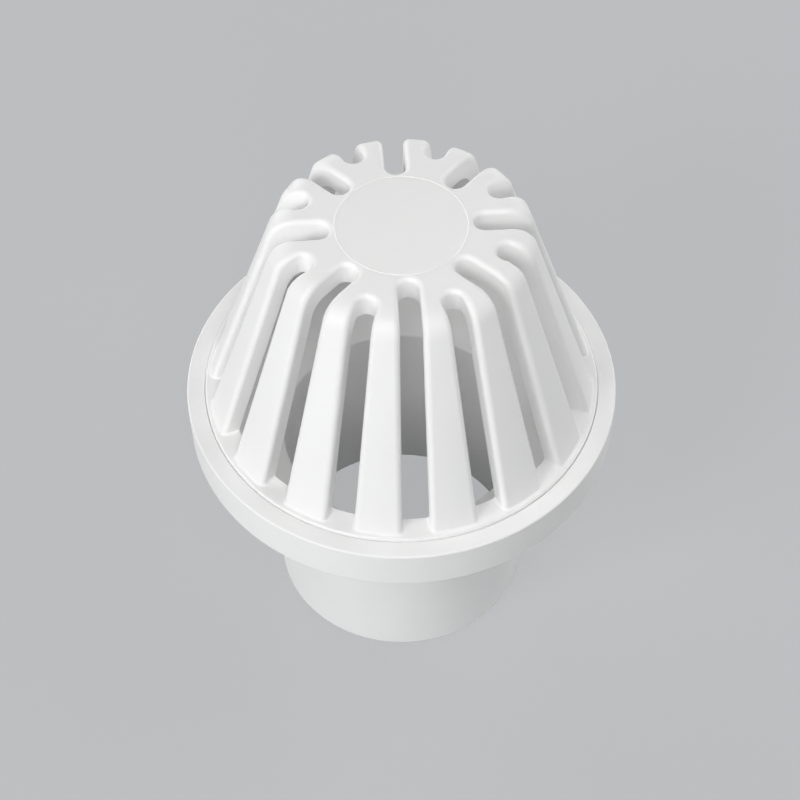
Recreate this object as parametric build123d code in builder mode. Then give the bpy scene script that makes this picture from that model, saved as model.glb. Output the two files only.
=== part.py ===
from build123d import *
import os
from math import pi, radians, sin, sqrt

os.makedirs("parts", exist_ok=True)

# A flat roof drain in white moulded plastic: a body with a pipe spigot, and a domed leaf grate in its rim.
# Millimetres, with +Z up and the origin at the centre of the spigot's lower end.

# Sizes of the drain body
spigot_diameter = 110.0     # outside of the spigot, a standard rainwater pipe size
spigot_wall = 4.0
spigot_length = 101.0       # from its lower end up to the skirt's lower edge
spigot_end_chamfer = 0.8
rim_diameter = 180.6
rim_width = 7.6             # the flat ring of the rim that shows around the grate
rim_edge_round = 0.8
skirt_height = 20.0
skirt_wall = 3.5
skirt_lean = 0.5            # how much smaller in radius the skirt is at its lower edge
skirt_edge_round = 1.0
rebate_depth = 3.0          # from the rim's top down to the ledge that the grate stands on
rebate_wall = 3.5           # wall left below that ledge and around the cup
rebate_edge_round = 0.5     # along the rim's inner edge, beside the grate
cup_drop = 14.0             # from the rim's top down to where the sloping floor starts
mouth_drop = 32.0           # from the rim's top down to the spigot's mouth
mouth_round = 1.0
floor_wall = 4.0
floor_round = 3.0           # where the sloping floor turns, inside and outside

# Sizes of the domed grate
grate_gap = 0.15            # play between the grate and the body, on each side
grate_height = 95.4         # from the rim's top to the flat top of the dome
cone_lean = 0.32            # how much the rib faces move out for each millimetre down
rib_foot_margin = 0.9       # from the base ring's edge in to the rib faces, at the ledge
rib_depth = 7.8             # through a rib, measured level
rib_foot_round = 1.1
shoulder_round = 11.0       # where the rib faces turn over into the flat top
inner_shoulder_round = 8.0
top_thickness = 10.6
slot_pitch = 32.0           # from one slot to the next, around the foot of the ribs
slot_width = 8.5            # at the flat top
slot_draft = 0.84           # how many degrees each slot wall leans, so that it leaves the mould
slot_edge_round = 2.2
long_slot_length = 22.0     # from the cone's edge at the flat top in to the slot's rounded end
short_slot_length = 11.5
disc_margin = 2.2           # flat left between the long slots and the line round the disc
disc_line_width = 0.8       # the fine raised line that the mould's round insert leaves
disc_line_rise = 0.25
gate_mark_diameter = 9.0    # the shallow dish in the middle, where the plastic came in
gate_mark_depth = 0.2
base_ring_rise = 1.2        # how far the base ring stands above the rim
base_ring_round = 0.8
collar_wall = 2.1
collar_drop = 6.0           # how far the collar hangs below the ledge

# Heights
skirt_bottom = spigot_length
rim_top = skirt_bottom + skirt_height
ledge_height = rim_top - rebate_depth
groove_top = ledge_height - rebate_wall
cup_floor_height = rim_top - cup_drop
mouth_height = rim_top - mouth_drop
ring_top = rim_top + base_ring_rise
grate_top = rim_top + grate_height
underside = grate_top - top_thickness
collar_bottom = ledge_height - collar_drop

# Radii, from the rim in: each piece is sized from the one around it
rim_radius = rim_diameter / 2
skirt_bottom_radius = rim_radius - skirt_lean
rebate_radius = rim_radius - rim_width
ring_radius = rebate_radius - grate_gap
cone_foot_radius = ring_radius - rib_foot_margin
cone_top_radius = cone_foot_radius - cone_lean * (grate_top - ledge_height)
collar_bore = cone_foot_radius - rib_depth
collar_radius = collar_bore + collar_wall
cup_radius = collar_radius + grate_gap
cup_outer_radius = cup_radius + rebate_wall
spigot_radius = spigot_diameter / 2
bore_radius = spigot_radius - spigot_wall

# The sloping floor, and its underside at the same slope
floor_slope = (cup_floor_height - mouth_height) / (cup_radius - bore_radius)
floor_rise = floor_wall * sqrt(1 + floor_slope**2)
under_inner = mouth_height + floor_slope * (spigot_radius - bore_radius) - floor_rise
under_outer = mouth_height + floor_slope * (cup_outer_radius - bore_radius) - floor_rise

# Slots go round in pairs, a long one and a short one
slot_pairs = round(pi * cone_foot_radius / slot_pitch)
pair_angle = 360 / slot_pairs
slot_reach = ring_radius + slot_width
long_slot_start = cone_top_radius - long_slot_length
long_slot_centre = long_slot_start + slot_width / 2
short_slot_centre = cone_top_radius - short_slot_length + slot_width / 2
narrowest_land = short_slot_centre * sin(radians(pair_angle / 2)) - slot_width
slot_round = min(slot_edge_round, narrowest_land / 3)
disc_radius = long_slot_start - disc_margin
gate_mark_radius = gate_mark_diameter / 2
gate_mark_curve = (gate_mark_radius**2 + gate_mark_depth**2) / (2 * gate_mark_depth)

snap = 0.01                 # how closely a corner or an edge has to match to be picked


def ring_edges(part, radius, height):
    """The round edges about the axis that have this radius at this height."""
    circles = part.edges().filter_by(GeomType.CIRCLE)
    return circles.filter_by(lambda e: abs(e.radius - radius) < snap and abs(e.arc_center.Z - height) < snap)


with BuildPart() as drain_body:
    # one half of the section, from the spigot's end round the skirt, the rebate and the cup
    with BuildSketch(Plane.XZ):
        with BuildLine():
            Polyline(
                (bore_radius, 0),
                (spigot_radius, 0),
                (spigot_radius, under_inner),
                (cup_outer_radius, under_outer),
                (cup_outer_radius, groove_top),
                (rim_radius - skirt_wall, groove_top),
                (skirt_bottom_radius - skirt_wall, skirt_bottom),
                (skirt_bottom_radius, skirt_bottom),
                (rim_radius, rim_top),
                (rebate_radius, rim_top),
                (rebate_radius, ledge_height),
                (cup_radius, ledge_height),
                (cup_radius, cup_floor_height),
                (bore_radius, mouth_height),
                close=True,
            )
        make_face()
    revolve(axis=Axis.Z)
    chamfer(ring_edges(drain_body, spigot_radius, 0), spigot_end_chamfer)
    fillet(ring_edges(drain_body, rim_radius, rim_top), rim_edge_round)
    fillet(ring_edges(drain_body, rebate_radius, rim_top), rebate_edge_round)
    fillet(ring_edges(drain_body, skirt_bottom_radius, skirt_bottom), skirt_edge_round)
    fillet(ring_edges(drain_body, cup_radius, cup_floor_height), floor_round)
    fillet(ring_edges(drain_body, spigot_radius, under_inner), floor_round)
    fillet(ring_edges(drain_body, bore_radius, mouth_height), mouth_round)

with BuildPart() as dome_grate:
    # the dome as a thick shell, before its slots are cut
    with BuildSketch(Plane.XZ) as dome_section:
        with BuildLine():
            Polyline(
                (0, underside),
                (0, grate_top),
                (cone_top_radius, grate_top),
                (cone_foot_radius, ledge_height),
                (collar_bore, ledge_height),
                (cone_top_radius + cone_lean * top_thickness - rib_depth, underside),
                close=True,
            )
        make_face()
        top_corners = dome_section.vertices().filter_by(lambda v: abs(v.Y - grate_top) < snap)
        fillet(top_corners.sort_by(Axis.X)[-1], shoulder_round)
        inner_corners = dome_section.vertices().filter_by(lambda v: abs(v.Y - underside) < snap)
        fillet(inner_corners.sort_by(Axis.X)[-1], inner_shoulder_round)
    revolve(axis=Axis.Z)

    # long and short slots in turn, cut straight down through the top and the side
    for slot_centre, first_angle in ((long_slot_centre, 0), (short_slot_centre, pair_angle / 2)):
        with BuildSketch(Plane.XY.offset(grate_top)):
            with PolarLocations(0, slot_pairs, start_angle=first_angle):
                with Locations(((slot_centre + slot_reach) / 2, 0)):
                    SlotCenterToCenter(slot_reach - slot_centre, slot_width)
        extrude(amount=ledge_height - grate_top, taper=-slot_draft, mode=Mode.SUBTRACT)

    # round every slot edge that shows on the outside: an edge of just one of the faces that look up or out
    outer_faces = dome_grate.faces().filter_by(lambda f: f.normal_at(f.center()).Z > snap)
    outer_edges = ShapeList(e for f in outer_faces for e in f.edges())
    foot_edges = dome_grate.edges().group_by(Axis.Z)[0]
    slot_lips = ShapeList(e for e in outer_edges if outer_edges.count(e) == 1 and e not in foot_edges)
    fillet(slot_lips, slot_round)

    # the base ring that sits in the rim, and the collar that hangs below it
    with BuildSketch(Plane.XZ):
        with BuildLine():
            ring_bore = collar_bore - cone_lean * (ring_top - ledge_height)
            Polyline(
                (ring_bore, ring_top),
                (ring_radius, ring_top),
                (ring_radius, ledge_height),
                (collar_radius, ledge_height),
                (collar_radius, collar_bottom),
                (collar_bore, collar_bottom),
                (collar_bore, ledge_height),
                close=True,
            )
        make_face()
    revolve(axis=Axis.Z)
    fillet(ring_edges(dome_grate, ring_radius, ring_top), base_ring_round)

    # a small hollow round where each rib grows out of the base ring
    ring_outline = ring_edges(dome_grate, ring_bore, ring_top)
    ring_outline += ring_edges(dome_grate, ring_radius - base_ring_round, ring_top)
    ring_level = dome_grate.edges().filter_by_position(Axis.Z, ring_top - snap, ring_top + snap)
    fillet(ShapeList(e for e in ring_level if e not in ring_outline), rib_foot_round)

    # the fine raised line round the disc in the middle of the top
    with BuildSketch(Plane.XZ):
        with BuildLine():
            Polyline(
                (disc_radius - disc_line_width / 2, grate_top),
                (disc_radius, grate_top + disc_line_rise),
                (disc_radius + disc_line_width / 2, grate_top),
                close=True,
            )
        make_face()
    revolve(axis=Axis.Z)

    # the gate mark, dished into the middle of the disc
    with Locations((0, 0, grate_top - gate_mark_depth + gate_mark_curve)):
        Sphere(gate_mark_curve, mode=Mode.SUBTRACT)

drain_body.part.label = "drain_body"
export_step(drain_body.part, "parts/drain_body.step")
dome_grate.part.label = "dome_grate"
export_step(dome_grate.part, "parts/dome_grate.step")
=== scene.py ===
# A flat roof drain in white moulded plastic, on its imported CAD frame: its material, floor, camera and light.
# Metres, with +Z up and the spigot's lower end on the floor.
import bmesh
import bpy
from math import cos, radians, sin
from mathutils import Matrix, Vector

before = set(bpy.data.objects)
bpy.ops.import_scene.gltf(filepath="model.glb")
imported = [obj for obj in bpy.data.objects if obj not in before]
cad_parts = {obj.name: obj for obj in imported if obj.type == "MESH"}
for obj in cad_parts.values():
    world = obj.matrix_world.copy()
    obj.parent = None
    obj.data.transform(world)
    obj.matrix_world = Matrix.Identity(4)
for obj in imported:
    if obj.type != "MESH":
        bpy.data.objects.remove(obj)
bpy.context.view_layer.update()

print("stage 1: frame loaded, nodes", sorted(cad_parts))


def linearColour(hexCode):
    # sRGB hex to the linear colour that a socket takes
    channels = [int(hexCode[i:i + 2], 16) / 255 for i in (1, 3, 5)]
    return [c / 12.92 if c <= 0.04045 else ((c + 0.055) / 1.055) ** 2.4 for c in channels] + [1]


def addNode(tree, kind, values=None, links=None, **settings):
    # one node with its settings, socket values and incoming links
    node = tree.nodes.new(kind)
    for name, value in settings.items():
        setattr(node, name, value)
    for socket, value in (values or {}).items():
        node.inputs[socket].default_value = value
    for socket, source in (links or {}).items():
        tree.links.new(source, node.inputs[socket])
    return node


def emptyMaterial(name):
    material = bpy.data.materials.new(name)
    material.use_nodes = True
    material.node_tree.nodes.clear()
    return material, material.node_tree


# Unplasticised PVC, injection moulded in a satin-finished steel mould: dense white, closed and nearly
# matt, with a faint cloudiness from the flow of the melt, a slight waviness, and fine rubs from packing
# and handling. Waves and rubs only show in the highlights.
upvc = {
    "white": "#F8F8F8",
    "cloud": "#F3F3F2",          # the least bright patches of the flow
    "ior": 1.53,
    "roughness": (0.45, 0.55),   # smoother and hazier places
    "cloudSize": 38,             # mm
    "hazeSize": 9,
    "hazeSpread": (0.3, 0.7),    # noise values that give the smoothest and the haziest place
    "waveSize": 6.5,
    "waveHeight": 0.00012,       # metres, as the bump node reads it
    "grainSize": 1.1,            # the real grain is near 0.2 mm: drawn coarser so that it shows
    "grainHeight": 0.00003,
    "rubLength": 26,
    "rubWidth": 0.7,             # the real ones are hair-fine: drawn coarser so that they show
    "rubTurn": (20, 35, 50),     # degrees, askew to every face
    "rubEdge": (0.62, 0.72),     # noise values where a rub starts and where it is full
    "rubRoughness": -0.12,       # a rub is a little more polished than the mould's finish
}


def mouldedUpvc(name, settings):
    material, tree = emptyMaterial(name)
    coordinates = addNode(tree, "ShaderNodeTexCoord")

    def placed(length, width=None, turn=(0, 0, 0)):
        # object coordinates counted in the pattern's own size, given in mm along it and across it
        across = (width or length) / 1000
        return addNode(
            tree, "ShaderNodeMapping", vector_type="TEXTURE",
            values={"Scale": (length / 1000, across, across), "Rotation": [radians(t) for t in turn]},
            links={"Vector": coordinates.outputs["Object"]},
        ).outputs["Vector"]

    cloud = addNode(
        tree, "ShaderNodeTexNoise",
        values={"Scale": 1, "Detail": 3, "Roughness": 0.45, "Distortion": 0.6},
        links={"Vector": placed(settings["cloudSize"])},
    )
    base = addNode(
        tree, "ShaderNodeMix", data_type="RGBA",
        values={"A": linearColour(settings["white"]), "B": linearColour(settings["cloud"])},
        links={"Factor": cloud.outputs["Fac"]},
    )
    haze = addNode(
        tree, "ShaderNodeTexNoise",
        values={"Scale": 1, "Detail": 4, "Roughness": 0.6},
        links={"Vector": placed(settings["hazeSize"])},
    )
    hazy = addNode(
        tree, "ShaderNodeMapRange",
        values={
            "From Min": settings["hazeSpread"][0], "From Max": settings["hazeSpread"][1],
            "To Min": settings["roughness"][0], "To Max": settings["roughness"][1],
        },
        links={"Value": haze.outputs["Fac"]},
    )
    rubs = addNode(
        tree, "ShaderNodeTexNoise",
        values={"Scale": 1, "Detail": 2, "Roughness": 0.5, "Distortion": 0.4},
        links={"Vector": placed(settings["rubLength"], settings["rubWidth"], settings["rubTurn"])},
    )
    rubbed = addNode(
        tree, "ShaderNodeMapRange",
        values={
            "From Min": settings["rubEdge"][0], "From Max": settings["rubEdge"][1],
            "To Min": 0, "To Max": settings["rubRoughness"],
        },
        links={"Value": rubs.outputs["Fac"]},
    )
    roughness = addNode(
        tree, "ShaderNodeMath", operation="ADD",
        links={0: hazy.outputs["Result"], 1: rubbed.outputs["Result"]},
    )
    wave = addNode(
        tree, "ShaderNodeTexNoise",
        values={"Scale": 1, "Detail": 1, "Roughness": 0.3},
        links={"Vector": placed(settings["waveSize"])},
    )
    waveBump = addNode(
        tree, "ShaderNodeBump",
        values={"Strength": 1, "Distance": settings["waveHeight"]},
        links={"Height": wave.outputs["Fac"]},
    )
    grain = addNode(
        tree, "ShaderNodeTexNoise",
        values={"Scale": 1, "Detail": 2, "Roughness": 0.5},
        links={"Vector": placed(settings["grainSize"])},
    )
    grainBump = addNode(
        tree, "ShaderNodeBump",
        values={"Strength": 1, "Distance": settings["grainHeight"]},
        links={"Height": grain.outputs["Fac"], "Normal": waveBump.outputs["Normal"]},
    )
    surface = addNode(
        tree, "ShaderNodeBsdfPrincipled",
        values={"IOR": settings["ior"]},
        links={
            "Base Color": base.outputs["Result"],
            "Roughness": roughness.outputs["Value"],
            "Normal": grainBump.outputs["Normal"],
        },
    )
    addNode(tree, "ShaderNodeOutputMaterial", links={"Surface": surface.outputs["BSDF"]})
    return material


whitePlastic = mouldedUpvc("mouldedUpvc", upvc)
for node in ("drain_body", "dome_grate"):
    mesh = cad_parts[node].data
    mesh.materials.clear()
    mesh.materials.append(whitePlastic)
print("stage 2: moulded plastic on both pieces")


# A pale grey floor of painted board. Near the drain part of its seen tone takes the light, so that it
# keeps the drain's soft shadow. Further out the tone is even and runs into the backdrop with no edge.
studioGrey = "#BEBFC1"           # the even tone that the floor and the backdrop share
floorSizes = {
    "radius": 12.0,
    "sides": 96,
    "board": "#C8C9CB",          # what the light falls on
    "evenShare": 0.78,           # how much of the seen tone is even near the drain
    "fadeStart": 0.35,           # metres from the drain's axis, where the lit share starts to fade
    "fadeEnd": 0.9,
}


def seenRays(tree):
    # 1 for what is seen straight, in gloss or through something, and 0 for soft light on the object
    path = addNode(tree, "ShaderNodeLightPath")
    straightOrGloss = addNode(
        tree, "ShaderNodeMath", operation="MAXIMUM",
        links={0: path.outputs["Is Camera Ray"], 1: path.outputs["Is Glossy Ray"]},
    )
    return addNode(
        tree, "ShaderNodeMath", operation="MAXIMUM",
        links={0: straightOrGloss.outputs["Value"], 1: path.outputs["Is Transmission Ray"]},
    ).outputs["Value"]


def greyFloor(settings, grey):
    material, tree = emptyMaterial("paleFloor")
    coordinates = addNode(tree, "ShaderNodeTexCoord")
    out = addNode(
        tree, "ShaderNodeVectorMath", operation="LENGTH",
        links={"Vector": coordinates.outputs["Object"]},
    )
    even = addNode(
        tree, "ShaderNodeMapRange", interpolation_type="SMOOTHSTEP",
        values={
            "From Min": settings["fadeStart"], "From Max": settings["fadeEnd"],
            "To Min": settings["evenShare"], "To Max": 1,
        },
        links={"Value": out.outputs["Value"]},
    )
    share = addNode(
        tree, "ShaderNodeMath", operation="MULTIPLY",
        links={0: seenRays(tree), 1: even.outputs["Result"]},
    )
    lit = addNode(tree, "ShaderNodeBsdfDiffuse", values={"Color": linearColour(settings["board"])})
    tone = addNode(tree, "ShaderNodeEmission", values={"Color": linearColour(grey), "Strength": 1})
    mixed = addNode(
        tree, "ShaderNodeMixShader",
        links={0: share.outputs["Value"], 1: lit.outputs["BSDF"], 2: tone.outputs["Emission"]},
    )
    addNode(tree, "ShaderNodeOutputMaterial", links={"Surface": mixed.outputs["Shader"]})
    bm = bmesh.new()
    bmesh.ops.create_circle(bm, cap_ends=True, segments=settings["sides"], radius=settings["radius"])
    mesh = bpy.data.meshes.new("floor")
    bm.to_mesh(mesh)
    bm.free()
    mesh.materials.append(material)
    floor = bpy.data.objects.new("floor", mesh)
    bpy.context.scene.collection.objects.link(floor)


greyFloor(floorSizes, studioGrey)
print("stage 3: floor")


# The photograph's camera, from its rim, seam, mouth, spigot and dome outlines
cameraView = {
    "lens": 93.555,              # mm
    "sensor": 36,                # mm wide
    "nearest": 0.01,             # metres, as every length below
    "distance": 0.87666,         # from the centre of the rim's top
    "rimHeight": 0.121,
    "azimuth": -4.4,             # degrees, where 0 looks along +Y
    "elevation": 51.17,
    "aim": (-0.0006, 0.00005, 0.10713),
}


def outward(azimuth, elevation):
    a, e = radians(azimuth), radians(elevation)
    return Vector((sin(a) * cos(e), -cos(a) * cos(e), sin(e)))


def makeCamera(settings):
    data = bpy.data.cameras.new("camera")
    data.lens = settings["lens"]
    data.sensor_width = settings["sensor"]
    data.clip_start = settings["nearest"]
    camera = bpy.data.objects.new("camera", data)
    rimCentre = Vector((0, 0, settings["rimHeight"]))
    camera.location = rimCentre + settings["distance"] * outward(settings["azimuth"], settings["elevation"])
    camera.rotation_euler = (Vector(settings["aim"]) - camera.location).to_track_quat("-Z", "Y").to_euler()
    bpy.context.scene.collection.objects.link(camera)
    bpy.context.scene.camera = camera


makeCamera(cameraView)
print("stage 4: camera")


# Soft round panels that face the rim's centre. Azimuth is measured as the camera's is, and distance and
# size are in metres. More watts on the left turn the left ribs full white.
panels = {
    "leftPanel": {"azimuth": -40, "elevation": 38, "distance": 1.2, "size": 0.4, "watts": 4.1},
    "leftLowPanel": {"azimuth": -60, "elevation": 18, "distance": 1.2, "size": 0.4, "watts": 3.95},
    "frontPanel": {"azimuth": 0, "elevation": 38, "distance": 1.2, "size": 0.4, "watts": 2.4},
    "topPanel": {"azimuth": 0, "elevation": 58, "distance": 1.2, "size": 0.4, "watts": 2.5},
    "rightPanel": {"azimuth": 75, "elevation": 45, "distance": 1.2, "size": 0.5, "watts": 1.8},
    "rightRearPanel": {"azimuth": 110, "elevation": 45, "distance": 1.2, "size": 0.5, "watts": 1.7},
    "backRightPanel": {"azimuth": 120, "elevation": 12, "distance": 1.5, "size": 1.2, "watts": 5.0},
    "backPanel": {"azimuth": 150, "elevation": 12, "distance": 1.5, "size": 1.2, "watts": 6.0},
    "backLeftPanel": {"azimuth": -150, "elevation": 12, "distance": 1.5, "size": 1.2, "watts": 11.8},
}


def makePanel(name, settings):
    data = bpy.data.lights.new(name, "AREA")
    data.shape = "DISK"
    data.size = settings["size"]
    data.energy = settings["watts"]
    panel = bpy.data.objects.new(name, data)
    rimCentre = Vector((0, 0, cameraView["rimHeight"]))
    panel.location = rimCentre + settings["distance"] * outward(settings["azimuth"], settings["elevation"])
    panel.rotation_euler = (rimCentre - panel.location).to_track_quat("-Z", "Y").to_euler()
    bpy.context.scene.collection.objects.link(panel)


def makeBackdrop(grey):
    # the world is seen as plain grey, straight or in gloss, and adds no other light
    world = bpy.data.worlds.new("studio")
    world.use_nodes = True
    tree = world.node_tree
    tree.nodes.clear()
    backdrop = addNode(
        tree, "ShaderNodeBackground",
        values={"Color": linearColour(grey), "Strength": 1},
    )
    mixed = addNode(
        tree, "ShaderNodeMixShader",
        links={0: seenRays(tree), 2: backdrop.outputs["Background"]},
    )
    addNode(tree, "ShaderNodeOutputWorld", links={"Surface": mixed.outputs["Shader"]})
    bpy.context.scene.world = world


for name, settings in panels.items():
    makePanel(name, settings)
makeBackdrop(studioGrey)
bpy.context.scene.view_settings.view_transform = "Standard"
print("stage 5: light")
